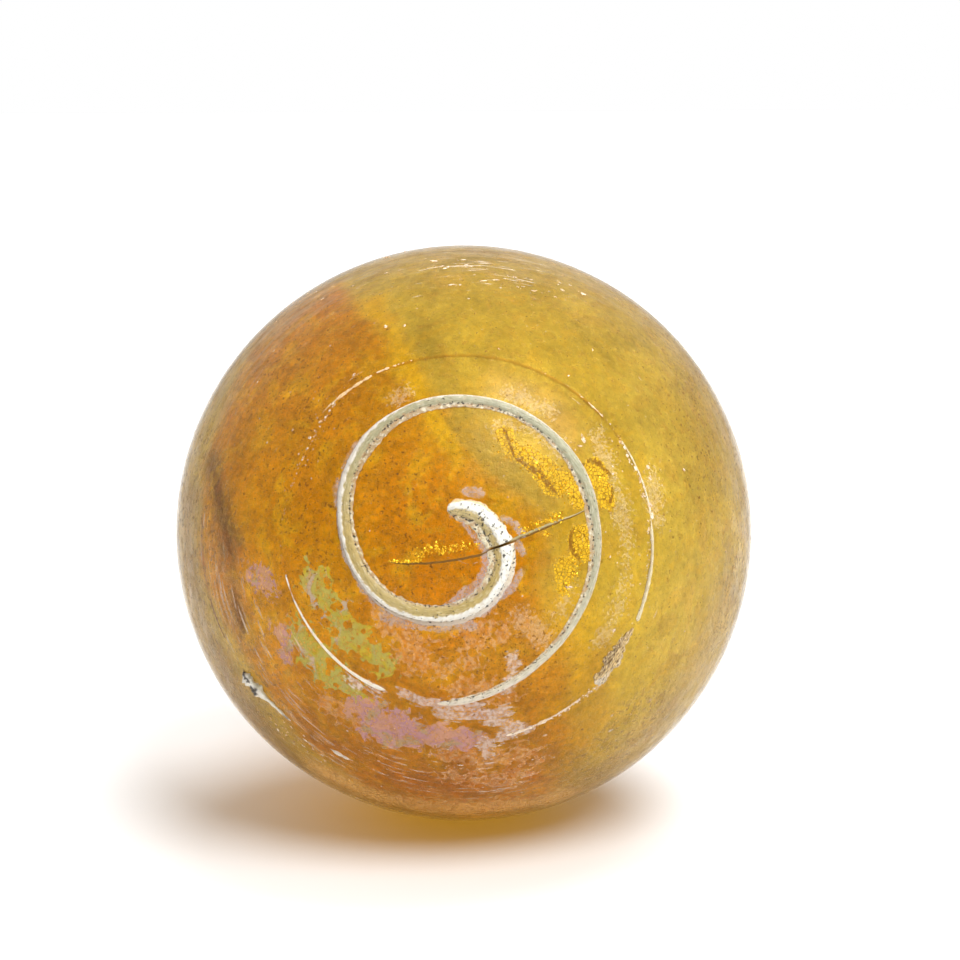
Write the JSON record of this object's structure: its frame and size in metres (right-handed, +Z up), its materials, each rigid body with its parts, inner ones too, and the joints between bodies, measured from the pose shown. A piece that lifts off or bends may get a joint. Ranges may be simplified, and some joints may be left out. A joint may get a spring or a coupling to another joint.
{
  "type": "retort flask",
  "caption": "Small amber glass flask with a round blown globe, a drawn neck bent towards its lip, and a worn white spiral thread trailed over the base.",
  "frame": {"origin": "middle of the small worn flat under the globe, on the surface that the flask lies on", "axes": "+Z up, -Y towards the trailed base, +Y towards the neck and lip, the flask's bent axis in the plane x = 0"},
  "size_m": [0.07, 0.1292, 0.0696],
  "materials": {
    "globe_glass": "weathered, softly glossy",
    "neck_glass": "weathered, softly glossy",
    "trail_glass": "opaque, pitted"
  },
  "bodies": {
    "root": {"globe": "globe_glass", "neck": "neck_glass", "trail_start": "trail_glass", "trail_first_turn": "trail_glass", "trail_second_turn_left": "trail_glass", "trail_second_turn_top": "trail_glass", "trail_second_turn_right": "trail_glass", "trail_torn_stretch": "trail_glass", "trail_second_turn_lower": "trail_glass", "trail_outer_fragment": "trail_glass", "trail_outer_stub": "trail_glass", "trail_outer_end": "trail_glass"}
  },
  "joints": []
}
